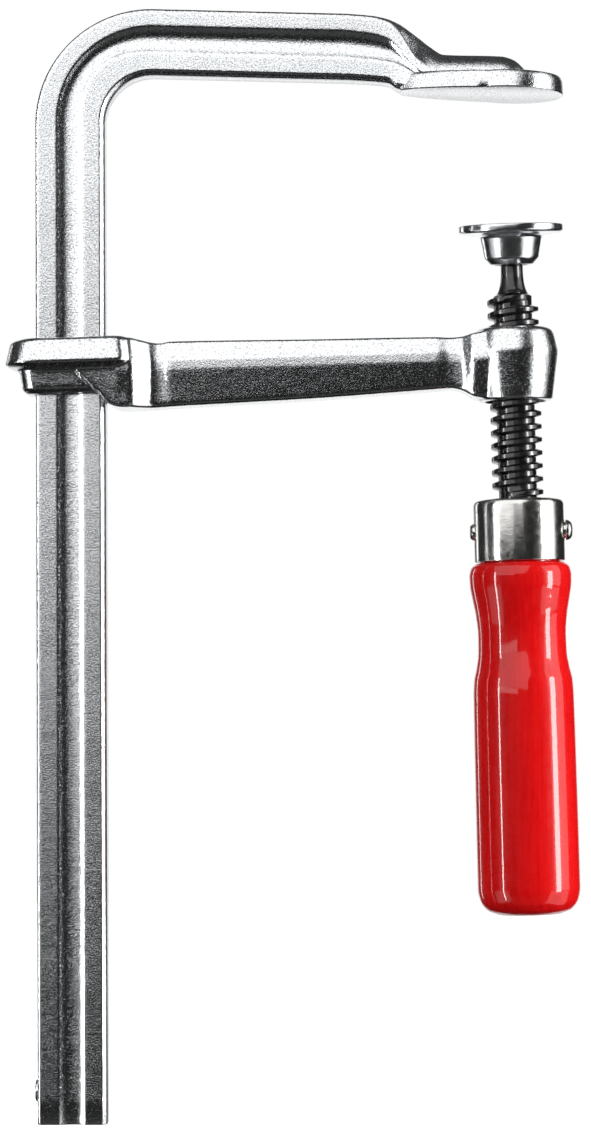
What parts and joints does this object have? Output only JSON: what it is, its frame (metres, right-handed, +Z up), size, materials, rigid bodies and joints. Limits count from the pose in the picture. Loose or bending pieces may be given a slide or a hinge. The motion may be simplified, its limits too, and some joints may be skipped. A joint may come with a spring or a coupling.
{
  "type": "f clamp",
  "caption": "All-steel screw clamp: forged rail with fixed jaw, sliding arm, threaded spindle with tilting pressure plate and turned wooden handle.",
  "frame": {"origin": "centre of the fixed jaw's round clamping face", "axes": "+Z up along the rail towards the fixed jaw, +X from the rail to the spindle, -Y the front"},
  "size_m": [0.1746, 0.0324, 0.3408],
  "materials": {
    "zinc_steel": "bright zinc-plated forged steel with a fine grain",
    "polished_zinc": "bright zinc-plated turned steel",
    "black_steel": "burnished, oiled black steel",
    "spring_steel": "drawn spring wire",
    "nickel_steel": "satin nickel-plated steel",
    "red_lacquer": "turned beech under glossy red lacquer"
  },
  "bodies": {
    "frame": {"rail": "zinc_steel", "end_stop_stud": "zinc_steel"},
    "arm": {"sliding_arm": "zinc_steel"},
    "ring": {"retaining_ring": "spring_steel"},
    "screw": {"spindle": "black_steel", "ferrule": "nickel_steel", "cross_pin": "nickel_steel", "handle": "red_lacquer"},
    "plate": {"pressure_plate": "polished_zinc"}
  },
  "joints": [
    {"name": "arm_slide", "type": "slide", "parent": "frame", "child": "arm", "axis": [0, 0, 1], "range_m": [-0.208, 0.0045]},
    {"name": "spindle_feed", "type": "slide", "parent": "arm", "child": "ring", "axis": [-0.0201, 0, 0.9998], "range_m": [-0.0175, 0.0295]},
    {"name": "spindle_turn", "type": "hinge", "parent": "ring", "child": "screw", "pos_m": [0.0002, 0, -0.0719], "axis": [-0.0201, 0, 0.9998], "range_deg": [-1576, 2656]},
    {"name": "plate_tilt", "type": "hinge", "parent": "ring", "child": "plate", "pos_m": [-0.00032, 0, -0.04611], "axis": [0.9998, 0, 0.0201], "range_deg": [-20, 10]}
  ],
  "couplings": [
    {"joint": "spindle_turn", "follows": "spindle_feed", "rad_per_m": 1570.8}
  ]
}
